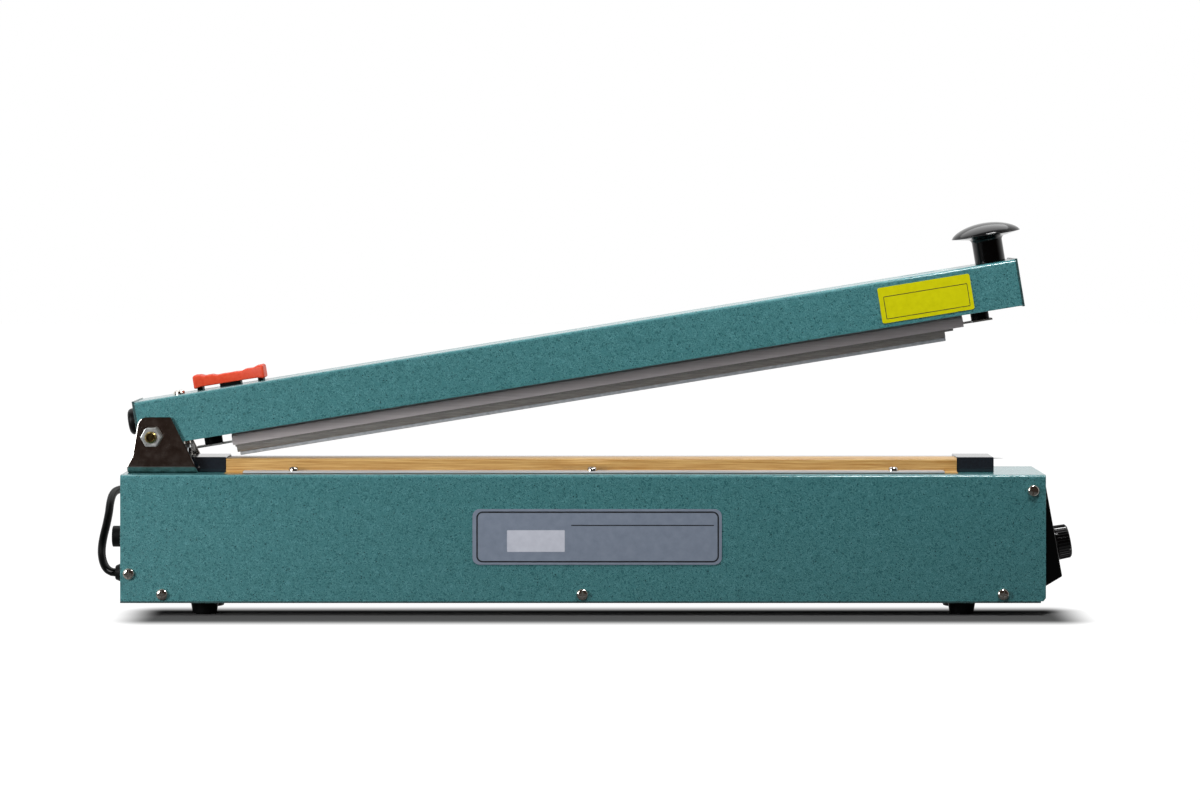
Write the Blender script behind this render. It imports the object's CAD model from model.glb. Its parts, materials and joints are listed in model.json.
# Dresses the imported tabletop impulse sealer: enamelled sheet metal, jaw, arm, timer and cord.
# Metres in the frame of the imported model; names that end in Mm hold millimetres.
import json
import math
import random

import bmesh
import bpy
from mathutils import Matrix, Vector


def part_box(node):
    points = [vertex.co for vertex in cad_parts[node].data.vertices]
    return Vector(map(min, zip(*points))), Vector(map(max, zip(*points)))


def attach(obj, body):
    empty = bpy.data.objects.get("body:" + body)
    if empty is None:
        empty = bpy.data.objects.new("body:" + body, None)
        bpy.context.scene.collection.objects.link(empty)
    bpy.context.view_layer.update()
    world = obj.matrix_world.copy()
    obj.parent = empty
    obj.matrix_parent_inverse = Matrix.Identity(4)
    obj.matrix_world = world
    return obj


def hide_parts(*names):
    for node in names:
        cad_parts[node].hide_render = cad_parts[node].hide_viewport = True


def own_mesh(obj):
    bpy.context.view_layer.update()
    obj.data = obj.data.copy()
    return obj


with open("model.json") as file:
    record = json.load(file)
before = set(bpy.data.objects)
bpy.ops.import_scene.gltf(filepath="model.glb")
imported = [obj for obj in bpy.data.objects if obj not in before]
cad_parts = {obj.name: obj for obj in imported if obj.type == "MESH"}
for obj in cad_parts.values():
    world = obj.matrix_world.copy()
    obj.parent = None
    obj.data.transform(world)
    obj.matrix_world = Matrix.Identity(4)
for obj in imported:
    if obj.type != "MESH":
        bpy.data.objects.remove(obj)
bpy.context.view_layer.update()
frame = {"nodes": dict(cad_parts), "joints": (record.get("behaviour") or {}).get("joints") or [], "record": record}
nodes = frame["nodes"]
joints = {joint["name"]: joint for joint in frame["joints"]}
bodyOf = {
    node: body for body, held in frame["record"]["behaviour"]["bodies"].items() for node in held
}
mm = 0.001
weldGap = 0.002 * mm
white = (1, 1, 1, 1)
scene = bpy.context.scene
scene.view_settings.view_transform = "Standard"

# The arm's own directions, from its joints: along it, across it and square to it
hinge = Vector(joints["arm_lift"]["pos_m"])
armAlong = Vector(joints["cutter_slide"]["axis"]).normalized()
armUp = Vector(joints["press_bar_float"]["axis"]).normalized()
armTurn = Matrix((armAlong, (0, 1, 0), armUp)).transposed().to_4x4()
armPlace = Matrix.Translation(hinge) @ armTurn
coverLow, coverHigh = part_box("base_cover")
leftEnd, frontFace, deckTop = coverLow.x, coverLow.y, coverHigh.z
print("frame loaded")


def linear(hexColour):
    parts = [int(hexColour[i:i + 2], 16) / 255 for i in (1, 3, 5)]
    return [p / 12.92 if p <= 0.04045 else ((p + 0.055) / 1.055) ** 2.4 for p in parts] + [1.0]


def feed(tree, node, inputs):
    # Sets or links inputs; a node given as a value stands for its first output
    for name, value in inputs.items():
        if isinstance(value, bpy.types.Node):
            value = value.outputs[0]
        if isinstance(value, bpy.types.NodeSocket):
            tree.links.new(value, node.inputs[name])
        else:
            node.inputs[name].default_value = value


def addNode(tree, kind, inputs=None, **settings):
    node = tree.nodes.new(kind)
    for name, value in settings.items():
        setattr(node, name, value)
    feed(tree, node, inputs or {})
    return node


def emptied(owner):
    owner.use_nodes = True
    owner.node_tree.nodes.clear()
    return owner.node_tree


def placed(name, data):
    thing = bpy.data.objects.new(name, data)
    scene.collection.objects.link(thing)
    return thing


# Camera, level and square to the housing's front, and the plain studio round it
studio = {
    "cameraPlace": (0.006175, -2.486, 0.287),
    "focalMm": 104.46,
    "sensorMm": 36,
    "shiftUp": -0.1608,
    "floorHalf": 6.0,
    "floorFront": -1.0,
    "floorColour": "#505050",
    "shadeMiddle": (0.009, -0.042, 0.0),
    "shadeHalf": (0.312, 0.026, 1.0),
    "shadeFade": 0.036,
    "glossFrom": -0.12,
    "glossTo": 0.12,
    "roomLevel": 0.24,
    "roomFront": "#3b302b",
    "roomDim": (-0.5, 0.45),     # dim in front of the first depth, white behind the second
    "keyPlace": (-0.89, -0.64, 0.34),
    "keySize": (0.4, 0.5),
    "keyWatts": 8.7,
    "fillPlace": (0.3, -0.3, 0.8),
    "fillSize": (0.3, 0.1),
    "fillWatts": 5.8,
    "topPlace": (-0.2, 0.5, 1.2),
    "topSize": (2.0, 0.9),
    "topWatts": 9.0,
    "aim": (0.0, 0.0, 0.1),
}


def whiteRays(tree, glossy=1.0):
    # The rays that see white surroundings: the camera's, those through glass, and a share of gloss
    rays = addNode(tree, "ShaderNodeLightPath").outputs
    seen = rays["Is Glossy Ray"]
    for operation, other in (("MULTIPLY", glossy), ("MAXIMUM", rays["Is Camera Ray"]),
                             ("MAXIMUM", rays["Is Transmission Ray"])):
        seen = addNode(tree, "ShaderNodeMath", {0: seen, 1: other}, operation=operation)
    return seen


def makeCamera():
    camera = placed("camera", bpy.data.cameras.new("camera"))
    camera.data.lens = studio["focalMm"]
    camera.data.sensor_width = studio["sensorMm"]
    camera.data.shift_y = studio["shiftUp"]
    camera.location = studio["cameraPlace"]
    camera.rotation_euler = (math.pi / 2, 0, 0)
    scene.camera = camera


def makeRoom():
    # White behind and above, dim in front, where the metal mirrors an unlit room
    world = bpy.data.worlds.new("studioRoom")
    tree = emptied(world)
    where = addNode(tree, "ShaderNodeTexCoord").outputs["Generated"]
    facing = addNode(tree, "ShaderNodeSeparateXYZ", {0: where}).outputs["Y"]
    dimFrom, dimTo = studio["roomDim"]
    front = addNode(tree, "ShaderNodeMapRange",
                    {"Value": facing, "From Min": dimFrom, "From Max": dimTo},
                    interpolation_type="SMOOTHSTEP")
    rays = addNode(tree, "ShaderNodeLightPath").outputs
    lit = addNode(tree, "ShaderNodeMath", {0: front, 1: rays["Is Camera Ray"]},
                  operation="MAXIMUM")
    tint = addNode(tree, "ShaderNodeMix", {0: lit, 6: linear(studio["roomFront"]), 7: white},
                   data_type="RGBA").outputs[2]
    shown = whiteRays(tree)
    colour = addNode(tree, "ShaderNodeMix", {0: shown, 6: white, 7: tint},
                     data_type="RGBA").outputs[2]
    level = addNode(tree, "ShaderNodeMapRange", {"Value": shown, "To Min": studio["roomLevel"]})
    light = addNode(tree, "ShaderNodeBackground", {"Color": colour, "Strength": level})
    addNode(tree, "ShaderNodeOutputWorld", {"Surface": light})
    scene.world = world


def makeFloor():
    # Matt paper sweep, overexposed except close to the object, where its shadow stays. Its
    # glow is seen but lights nothing, and gloss in front of the object meets a dim room.
    half, front = studio["floorHalf"], studio["floorFront"]
    mesh = bpy.data.meshes.new("floor")
    mesh.from_pydata([(-half, front, 0), (half, front, 0), (half, half, 0), (-half, half, 0)],
                     [], [(0, 1, 2, 3)])
    floor = placed("floor", mesh)
    paper = bpy.data.materials.new("mattPaper")
    tree = emptied(paper)
    where = addNode(tree, "ShaderNodeTexCoord").outputs["Object"]
    away = where
    for operation, other in (("SUBTRACT", studio["shadeMiddle"]), ("ABSOLUTE", (0, 0, 0)),
                             ("SUBTRACT", studio["shadeHalf"]), ("MAXIMUM", (0, 0, 0))):
        away = addNode(tree, "ShaderNodeVectorMath", {0: away, 1: other}, operation=operation)
    far = addNode(tree, "ShaderNodeVectorMath", {0: away}, operation="LENGTH").outputs["Value"]
    glow = addNode(tree, "ShaderNodeMapRange",
                   {"Value": far, "From Min": 0.0, "From Max": studio["shadeFade"]},
                   interpolation_type="SMOOTHSTEP")
    depth = addNode(tree, "ShaderNodeSeparateXYZ", {0: where}).outputs["Y"]
    behind = addNode(tree, "ShaderNodeMapRange",
                     {"Value": depth, "From Min": studio["glossFrom"],
                      "From Max": studio["glossTo"]})
    seen = addNode(tree, "ShaderNodeMath", {0: glow, 1: whiteRays(tree, behind)},
                   operation="MULTIPLY")
    paint = addNode(tree, "ShaderNodeBsdfDiffuse", {"Color": linear(studio["floorColour"])})
    light = addNode(tree, "ShaderNodeEmission", {"Strength": seen})
    both = addNode(tree, "ShaderNodeAddShader", {0: paint, 1: light})
    addNode(tree, "ShaderNodeOutputMaterial", {"Surface": both})
    mesh.materials.append(paper)


def makeLamp(name):
    lamp = placed(name + "Lamp", bpy.data.lights.new(name + "Lamp", "AREA"))
    lamp.data.shape = "RECTANGLE"
    lamp.data.size, lamp.data.size_y = studio[name + "Size"]
    lamp.data.energy = studio[name + "Watts"]
    lamp.location = studio[name + "Place"]
    towards = Vector(studio["aim"]) - lamp.location
    lamp.rotation_euler = towards.to_track_quat("-Z", "Y").to_euler()


makeCamera()
makeRoom()
makeFloor()
for name in ("key", "fill", "top"):
    makeLamp(name)
print("camera, room and lamps made")


# Finishes. Patterns read Object coordinates, turned into millimetres by the Mapping node.
grain = {"detail": 3.0, "roughness": 0.6, "from": 0.3, "to": 0.7}


def newFinish(name, colour, roughness, metallic=0.0, sockets=None):
    material = bpy.data.materials.new(name)
    tree = emptied(material)
    start = {"Base Color": linear(colour), "Roughness": roughness, "Metallic": metallic}
    shader = addNode(tree, "ShaderNodeBsdfPrincipled", {**start, **(sockets or {})})
    addNode(tree, "ShaderNodeOutputMaterial", {"Surface": shader})
    return material, tree, shader


def placeInMm(tree, stretch=(1, 1, 1), turn=(0, 0, 0)):
    where = addNode(tree, "ShaderNodeTexCoord").outputs["Object"]
    return addNode(tree, "ShaderNodeMapping",
                   {"Vector": where, "Rotation": turn,
                    "Scale": [share / mm for share in stretch]})


def surfaced(tree, shader, tone, share, rough, height, strength, reliefMm):
    # The tone, a roughness between two values and a relief go into the shader
    level = addNode(tree, "ShaderNodeMapRange",
                    {"Value": share, "To Min": rough[0], "To Max": rough[1]})
    relief = addNode(tree, "ShaderNodeBump",
                     {"Height": height, "Strength": strength, "Distance": reliefMm * mm})
    feed(tree, shader, {"Base Color": tone, "Roughness": level, "Normal": relief})


def grained(name, look):
    # One noise shades the colour, the roughness and the relief of a finish
    sockets = {"Specular IOR Level": look.get("specular", 0.5), **look.get("sockets", {})}
    material, tree, shader = newFinish(name, look["colour"], look["rough"][0],
                                       look.get("metallic", 0.0), sockets)
    where = placeInMm(tree, look.get("stretch", (1, 1, 1)), look.get("turn", (0, 0, 0)))
    noise = addNode(tree, "ShaderNodeTexNoise",
                    {"Vector": where, "Scale": 1 / look["grainMm"], "Detail": grain["detail"],
                     "Roughness": grain["roughness"]})
    share = addNode(tree, "ShaderNodeMapRange",
                    {"Value": noise, "From Min": grain["from"], "From Max": grain["to"]})
    tone = addNode(tree, "ShaderNodeMix",
                   {0: share, 6: linear(look["colour"]), 7: linear(look["light"])},
                   data_type="RGBA").outputs[2]
    surfaced(tree, shader, tone, share, look["rough"], noise, 1.0, look["bumpMm"])
    return material


armTilt = (0, math.atan2(armAlong.z, armAlong.x), 0)
looks = {
    # Moulded rubber: matt black with a dull grey sheen where it is rubbed
    "mouldedRubber": {"colour": "#060707", "light": "#0d0e0f", "rough": (0.3, 0.42),
                      "grainMm": 1.4, "bumpMm": 0.03, "specular": 0.12},
    # Closed-cell cushion strip: mid grey and dull, with fine pores
    "cushionFoam": {"colour": "#6d6b69", "light": "#8a8885", "rough": (0.7, 0.85),
                    "grainMm": 0.7, "bumpMm": 0.06},
    # Zinc-plated steel: bright grey, slightly clouded, with soft highlights
    "zincPlate": {"colour": "#c2c5c4", "light": "#e2e5e3", "metallic": 0.85,
                  "rough": (0.26, 0.4), "grainMm": 2.2, "bumpMm": 0.01},
    # Nickel-plated screw heads: small mirrors, dark in front and white above
    "nickelPlate": {"colour": "#c5bfb6", "light": "#dcd8d0", "metallic": 1.0,
                    "rough": (0.07, 0.13), "grainMm": 3.0, "bumpMm": 0.004},
    # Yellow-passivated steel: the same plate with a straw tint
    "strawZinc": {"colour": "#7d6c40", "light": "#ad9a68", "metallic": 1.0,
                  "rough": (0.16, 0.26), "grainMm": 1.6, "bumpMm": 0.01},
    # Blackened steel: the fork and its spring, dark and oily
    "blackenedSteel": {"colour": "#14181a", "light": "#23282a", "metallic": 0.8,
                       "rough": (0.34, 0.5), "grainMm": 2.0, "bumpMm": 0.01},
    # Polished chrome on a bent plate: a dark mirror with bright rims
    "polishedChrome": {"colour": "#a39d97", "light": "#c9c6c2", "metallic": 1.0,
                       "rough": (0.07, 0.13), "grainMm": 6.0, "bumpMm": 0.012},
    # Extruded aluminium, satin anodised: fine die lines run along the arm
    "extrudedAluminium": {"colour": "#cfc8cb", "light": "#e6e0e2", "metallic": 0.4,
                          "rough": (0.34, 0.5), "grainMm": 0.5, "bumpMm": 0.012,
                          "stretch": (0.01, 1, 1), "turn": armTilt},
    # The pad's holder is a duller, darker drawing of it
    "drawnAluminium": {"colour": "#8a8684", "light": "#adaaa7", "metallic": 0.5,
                       "rough": (0.3, 0.42), "grainMm": 0.5, "bumpMm": 0.012,
                       "stretch": (0.01, 1, 1), "turn": armTilt},
    # The same metal lying level in the jaw
    "jawAluminium": {"colour": "#a8a8a9", "light": "#d2d2d2", "metallic": 1.0,
                     "rough": (0.2, 0.32), "grainMm": 0.5, "bumpMm": 0.01,
                     "stretch": (0.01, 1, 1)},
    # Clamp strips: the same metal, sanded to a pale even grey
    "sandedAluminium": {"colour": "#b4b2b4", "light": "#d0cecf", "metallic": 0.25,
                        "rough": (0.4, 0.52), "grainMm": 0.5, "bumpMm": 0.01,
                        "stretch": (0.01, 1, 1)},
    # Turned brass: warm yellow with fine rings
    "turnedBrass": {"colour": "#a98a45", "light": "#cdb06a", "metallic": 1.0,
                    "rough": (0.22, 0.34), "grainMm": 0.7, "bumpMm": 0.01},
    # Moulded ABS from a spark-eroded tool: satin black, drawn coarse enough to show
    "mouldedBlack": {"colour": "#030404", "light": "#070808", "rough": (0.4, 0.55),
                     "grainMm": 0.7, "bumpMm": 0.03, "specular": 0.1},
    # Phenolic end blocks: blue-black, a little glossier than the ABS
    "phenolicBlock": {"colour": "#171c22", "light": "#20262d", "rough": (0.08, 0.14),
                      "grainMm": 1.2, "bumpMm": 0.004, "specular": 0.9},
    # Polished phenolic knobs: near black, with sharp reflections
    "polishedPhenolic": {"colour": "#030304", "light": "#060607", "rough": (0.06, 0.12),
                         "grainMm": 3.0, "bumpMm": 0.004,
                         "specular": 0.3},
    # Red moulded ABS handle: satin, slightly paler on its worn high places
    "redMoulding": {"colour": "#c93c22", "light": "#d24c30", "rough": (0.4, 0.52),
                    "grainMm": 2.5, "bumpMm": 0.02, "specular": 0.2},
    # Moulded silicone: grey, dull and faintly translucent
    "mouldedSilicone": {"colour": "#9a9fa5", "light": "#b9bdc2", "rough": (0.5, 0.64),
                        "grainMm": 3.0, "bumpMm": 0.02,
                        "sockets": {"Subsurface Weight": 0.1, "Subsurface Radius":
                                    (0.001, 0.001, 0.001)}},
    # Printed polyester film on the housing: grey-blue, smooth, softly glossy
    "printedFilm": {"colour": "#757f8f", "light": "#7f8999", "rough": (0.34, 0.44),
                    "grainMm": 6.0, "bumpMm": 0.008, "specular": 0.3},
    # The same film, pale grey for the housing label's empty panel
    "paleFilm": {"colour": "#bcbfcb", "light": "#c8cbd6", "rough": (0.34, 0.44),
                 "grainMm": 6.0, "bumpMm": 0.008},
    # The same film on the arm: a strong, slightly green yellow
    "yellowFilm": {"colour": "#c0bd00", "light": "#cbc800", "rough": (0.34, 0.44),
                   "grainMm": 5.0, "bumpMm": 0.008, "specular": 0.2},
    # Printing ink: flat black
    "printingInk": {"colour": "#15191d", "light": "#1d2226", "rough": (0.4, 0.5),
                    "grainMm": 1.0, "bumpMm": 0.004},
    # The same ink in an off-white, for the dial's pointer and scale
    "whiteInk": {"colour": "#c6c7c3", "light": "#d6d7d3", "rough": (0.4, 0.5),
                 "grainMm": 1.0, "bumpMm": 0.004},
    # Stacked core sheet: dark steel, with the edges of its sheets as fine lines
    "coreSheet": {"colour": "#2f2d2a", "light": "#5d5a54", "metallic": 0.7,
                  "rough": (0.4, 0.6), "grainMm": 0.5, "bumpMm": 0.06,
                  "stretch": (0.02, 1, 0.02)},
    # Enamelled copper wire: orange-brown turns side by side
    "enamelledWire": {"colour": "#7c3d1d", "light": "#b8652f", "metallic": 0.6,
                      "rough": (0.28, 0.4), "grainMm": 0.8, "bumpMm": 0.12,
                      "stretch": (0.05, 0.05, 1)},
    # Circuit board under green resist: a soft gloss over a faint mottle
    "resistBoard": {"colour": "#24593a", "light": "#347a4f", "rough": (0.3, 0.45),
                    "grainMm": 2.0, "bumpMm": 0.04},
    # Flexible PVC jacket: black, satin, faintly rippled along its length
    "vinylJacket": {"colour": "#030404", "light": "#060707", "rough": (0.14, 0.2),
                    "grainMm": 3.5, "bumpMm": 0.02, "specular": 0.1},
    # Ground blade steel: pale, with grinding lines across
    "groundSteel": {"colour": "#b3b7ba", "light": "#d8dcde", "metallic": 1.0,
                    "rough": (0.16, 0.3), "grainMm": 0.4, "bumpMm": 0.008,
                    "stretch": (1, 1, 0.05)},
}
finishes = {name: grained(name, look) for name, look in looks.items()}


# Stoved hammertone enamel: the paint draws into fine worms, so light and dark mottle and glint
enamel = {
    "deep": "#2a6064",
    "middle": "#3e777b",
    "bright": "#66a3a6",
    "speck": "#17393b",
    "wormMm": 1.5,
    "wormTwist": 1.6,
    "wormShade": (0.36, 0.66),
    "ridgeHalf": 0.09,
    "cloudMm": 6.0,
    "speckMm": 2.1,
    "speckRadius": 0.2,      # share of a cell
    "speckShare": 0.2,
    "reliefMm": 0.3,
    "rough": (0.34, 0.5),
    "sheen": {"Specular IOR Level": 0.25, "Coat Weight": 0.65, "Coat Roughness": 0.05,
              "Coat IOR": 1.6},
}


def hammertone(name, sizes):
    material, tree, shader = newFinish(name, sizes["middle"], sizes["rough"][0], 0.0,
                                       sizes["sheen"])
    where = placeInMm(tree)
    worms = addNode(tree, "ShaderNodeTexNoise",
                    {"Vector": where, "Scale": 1 / sizes["wormMm"], "Detail": 1.0,
                     "Roughness": 0.45, "Distortion": sizes["wormTwist"]})
    clouds = addNode(tree, "ShaderNodeTexNoise",
                     {"Vector": where, "Scale": 1 / sizes["cloudMm"], "Detail": 2.0})
    ridge = addNode(tree, "ShaderNodeMath", {0: worms, 1: 0.5}, operation="SUBTRACT")
    ridge = addNode(tree, "ShaderNodeMath", {0: ridge}, operation="ABSOLUTE")
    ridge = addNode(tree, "ShaderNodeMapRange",
                    {"Value": ridge, "From Min": 0.0, "From Max": sizes["ridgeHalf"],
                     "To Min": 1.0, "To Max": 0.0}, interpolation_type="SMOOTHSTEP")
    body = addNode(tree, "ShaderNodeMapRange",
                   {"Value": worms, "From Min": sizes["wormShade"][0],
                    "From Max": sizes["wormShade"][1]})
    lift = addNode(tree, "ShaderNodeMath", {0: ridge, 1: clouds}, operation="MULTIPLY")
    cells = addNode(tree, "ShaderNodeTexVoronoi",
                    {"Vector": where, "Scale": 1 / sizes["speckMm"]}).outputs
    near = addNode(tree, "ShaderNodeMath", {0: cells["Distance"], 1: sizes["speckRadius"]},
                   operation="LESS_THAN")
    drawn = addNode(tree, "ShaderNodeSeparateColor", {0: cells["Color"]})
    some = addNode(tree, "ShaderNodeMath", {0: drawn, 1: sizes["speckShare"]},
                   operation="LESS_THAN")
    speck = addNode(tree, "ShaderNodeMath", {0: near, 1: some}, operation="MULTIPLY")
    tone = linear(sizes["deep"])
    for share, colour in ((body, "middle"), (lift, "bright"), (speck, "speck")):
        tone = addNode(tree, "ShaderNodeMix", {0: share, 6: tone, 7: linear(sizes[colour])},
                       data_type="RGBA").outputs[2]
    surfaced(tree, shader, tone, body, sizes["rough"][::-1], worms, 1.0, sizes["reliefMm"])
    return material


finishes["hammertoneEnamel"] = hammertone("hammertoneEnamel", enamel)

# The same enamel where the spray hardly reaches: the bottom plate and the arm's end plates
finishes["floorEnamel"] = hammertone("floorEnamel", {**enamel, "deep": "#1f3536",
                                                     "middle": "#2e4a4b", "bright": "#45696a"})

# Coated glass cloth: a brown satin film over a plain weave, streaked along its length by wiping
clothLook = {
    "deep": "#9a6c30",
    "middle": "#b98a46",
    "pale": "#d0ac6c",
    "threadMm": 0.9,    # woven at 0.5 mm and drawn coarser, so that it shows
    "streakMm": 1.1,
    "streakLong": 0.025,     # the streaks are drawn out to forty times their width
    "streakShade": (0.34, 0.68),
    "threadShade": 0.35,
    "reliefMm": 0.05,
    "rough": (0.36, 0.52),
}


def coatedGlassCloth():
    material, tree, shader = newFinish("coatedGlassCloth", clothLook["middle"],
                                       clothLook["rough"][0])
    wrap = addNode(tree, "ShaderNodeUVMap", uv_map="wrap")
    flat = addNode(tree, "ShaderNodeMapping",
                   {"Vector": wrap, "Scale": [2 * math.pi / (clothLook["threadMm"] * mm)] * 3})
    over = addNode(tree, "ShaderNodeSeparateXYZ", {0: flat}).outputs
    warp, weft = (addNode(tree, "ShaderNodeMath", {0: over[way]}, operation="SINE")
                  for way in ("X", "Y"))
    weave = addNode(tree, "ShaderNodeMath", {0: warp, 1: weft}, operation="MULTIPLY")
    along = addNode(tree, "ShaderNodeMapping",
                    {"Vector": wrap, "Scale": (clothLook["streakLong"] / mm, 1 / mm, 1 / mm)})
    streak = addNode(tree, "ShaderNodeTexNoise",
                     {"Vector": along, "Scale": 1 / clothLook["streakMm"], "Detail": 4.0,
                      "Roughness": 0.65})
    share = addNode(tree, "ShaderNodeMapRange",
                    {"Value": streak, "From Min": clothLook["streakShade"][0],
                     "From Max": clothLook["streakShade"][1]})
    thread = addNode(tree, "ShaderNodeMapRange",
                     {"Value": weave, "From Min": -1.0, "To Min": 0.0,
                      "To Max": clothLook["threadShade"]})
    tone = linear(clothLook["deep"])
    for part, colour in ((share, "pale"), (thread, "middle")):
        tone = addNode(tree, "ShaderNodeMix", {0: part, 6: tone, 7: linear(clothLook[colour])},
                       data_type="RGBA").outputs[2]
    surfaced(tree, shader, tone, share, clothLook["rough"], weave, 0.6,
             clothLook["reliefMm"])
    return material


finishes["coatedGlassCloth"] = coatedGlassCloth()

# Clear red acrylic with fine prisms inside, which break up the light
lens = {"colour": "#b81a17", "rough": 0.14, "prismsPerMm": 0.9, "reliefMm": 0.2,
        "sockets": {"IOR": 1.49, "Transmission Weight": 0.35, "Coat Weight": 0.4,
                    "Coat Roughness": 0.05}}


def lampLens():
    material, tree, shader = newFinish("redAcrylic", lens["colour"], lens["rough"], 0.0,
                                       lens["sockets"])
    cells = addNode(tree, "ShaderNodeTexVoronoi",
                    {"Vector": placeInMm(tree), "Scale": lens["prismsPerMm"]})
    relief = addNode(tree, "ShaderNodeBump", {"Height": cells.outputs["Distance"],
                                              "Strength": 0.5,
                                              "Distance": lens["reliefMm"] * mm})
    feed(tree, shader, {"Normal": relief})
    return material


finishes["redAcrylic"] = lampLens()
print("finishes made")


# Tools of this script
def smoothMesh(mesh, keepDeg):
    shape = bmesh.new()
    shape.from_mesh(mesh)
    for face in shape.faces:
        face.smooth = True
    for edge in shape.edges:
        edge.smooth = (len(edge.link_faces) == 2
                       and edge.calc_face_angle(0) < math.radians(keepDeg))
    shape.to_mesh(mesh)
    shape.free()


def meshOf(shape, name, solid=True):
    if solid:
        bmesh.ops.remove_doubles(shape, verts=shape.verts, dist=weldGap)
        bmesh.ops.recalc_face_normals(shape, faces=shape.faces)
    mesh = bpy.data.meshes.new(name)
    shape.to_mesh(mesh)
    shape.free()
    return mesh


def pieceName(node):
    first, *rest = node.split("_")
    return first + "".join(word.capitalize() for word in rest)


def addPiece(mesh, node, finish=None, name=None, stands=True):
    # A piece rides with its node's body, takes its slot and, unless it is extra, its place
    piece = placed(name or pieceName(node), mesh)
    if finish:
        mesh.materials.clear()
        mesh.materials.append(finishes[finish])
    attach(piece, bodyOf[node])
    if stands:
        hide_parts(node)
    return piece


def settled(piece):
    # The evaluated mesh takes the place of the modifiers
    bpy.context.view_layer.update()
    graph = bpy.context.evaluated_depsgraph_get()
    mesh = bpy.data.meshes.new_from_object(piece.evaluated_get(graph), depsgraph=graph,
                                           preserve_all_data_layers=True)
    name = piece.name
    bpy.data.objects.remove(piece)
    mesh.name = name
    return mesh


refining = {"flatDeg": 0.5, "edgeDeg": 32, "segments": 2, "smoothDeg": 40}


def refine(node, finish, edgeMm):
    # A copy of the solid with its flats joined and its edges broken by a small round
    name = pieceName(node)
    mesh = nodes[node].data.copy()
    shape = bmesh.new()
    shape.from_mesh(mesh)
    bmesh.ops.remove_doubles(shape, verts=shape.verts, dist=weldGap)
    bmesh.ops.dissolve_limit(shape, angle_limit=math.radians(refining["flatDeg"]),
                             verts=shape.verts, edges=shape.edges)
    shape.to_mesh(mesh)
    shape.free()
    piece = placed(name, mesh)
    if edgeMm:
        edge = piece.modifiers.new("edge", "BEVEL")
        edge.width = edgeMm * mm
        edge.segments = refining["segments"]
        edge.limit_method = "ANGLE"
        edge.angle_limit = math.radians(refining["edgeDeg"])
        edge.use_clamp_overlap = False
    mesh = settled(piece)
    smoothMesh(mesh, refining["smoothDeg"])
    piece = placed(name, mesh)
    piece.modifiers.new("even", "WEIGHTED_NORMAL").keep_sharp = True
    return addPiece(settled(piece), node, finish)


def newTree(name, inputs):
    tree = bpy.data.node_groups.new(name, "GeometryNodeTree")
    for way in ("INPUT", "OUTPUT"):
        tree.interface.new_socket("Geometry", in_out=way, socket_type="NodeSocketGeometry")
    for label, kind in {**inputs, "Finish": "Material"}.items():
        tree.interface.new_socket(label, in_out="INPUT", socket_type="NodeSocket" + kind)
    return tree, addNode(tree, "NodeGroupInput").outputs


def copied(tree, places, instance, aim, settings, axis, angle):
    # An instance at each place, its axis aimed and then turned by an angle about an axis
    points = addNode(tree, "GeometryNodeMeshToPoints", {"Mesh": places})
    aimed = addNode(tree, "FunctionNodeAlignRotationToVector", {"Vector": aim}, **settings)
    twist = addNode(tree, "FunctionNodeAxisAngleToRotation", {"Axis": axis, "Angle": angle})
    turned = addNode(tree, "FunctionNodeRotateRotation",
                     {"Rotation": aimed, "Rotate By": twist}, rotation_space="LOCAL")
    return addNode(tree, "GeometryNodeInstanceOnPoints",
                   {"Points": points, "Instance": instance, "Rotation": turned})


def ended(tree, geometry, given):
    real = addNode(tree, "GeometryNodeRealizeInstances", {"Geometry": geometry})
    dressed = addNode(tree, "GeometryNodeSetMaterial",
                      {"Geometry": real, "Material": given["Finish"]})
    addNode(tree, "NodeGroupOutput", {0: dressed})
    return tree


def grown(name, tree, values, places=((0, 0, 0),), facings=((0, 0, 1),), turns=None):
    # Runs a tree on a mesh of points and gives back the plain mesh that it grows
    host = bpy.data.meshes.new(name + "Places")
    host.from_pydata([tuple(place) for place in places], [], [])
    facing = host.attributes.new("facing", "FLOAT_VECTOR", "POINT")
    facing.data.foreach_set("vector", [part for way in facings for part in way])
    turn = host.attributes.new("turn", "FLOAT", "POINT")
    turn.data.foreach_set("value", turns or [0.0] * len(places))
    piece = placed(name, host)
    modifier = piece.modifiers.new("grow", "NODES")
    modifier.node_group = tree
    for item in tree.interface.items_tree:
        if item.in_out == "INPUT" and item.name in values:
            modifier[item.identifier] = values[item.name]
    return settled(piece)


def arc(steps, first=0):
    # The angles of a quarter round in so many steps, from the step named first
    return [math.pi / 2 * i / steps for i in range(first, steps + 1)]


def spun(profileMm, steps, closed=True):
    # Turns (radius, height) points round Z
    shape = bmesh.new()
    rings = []
    for radius, height in profileMm:
        count = steps if radius > 0.0001 else 1
        rings.append([shape.verts.new((radius * mm * math.cos(2 * math.pi * i / steps),
                                       radius * mm * math.sin(2 * math.pi * i / steps),
                                       height * mm)) for i in range(count)])
    for low, high in zip(rings, rings[1:] + (rings[:1] if closed else [])):
        for i in range(steps):
            j = (i + 1) % steps
            corners = [low[i % len(low)], low[j % len(low)], high[j % len(high)],
                       high[i % len(high)]]
            corners = [c for k, c in enumerate(corners) if c not in corners[:k]]
            if len(corners) > 2:
                shape.faces.new(corners)
    return shape


def joined(name, parts):
    # One mesh from several, each with its material's place in the list
    shape = bmesh.new()
    for mesh, index in parts:
        first = len(shape.faces)
        shape.from_mesh(mesh)
        shape.faces.ensure_lookup_table()
        for face in shape.faces[first:]:
            face.material_index = index
    return meshOf(shape, name, solid=False)


def onArm(placeMm):
    return armPlace @ Matrix.Translation(Vector(placeMm) * mm)


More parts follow.
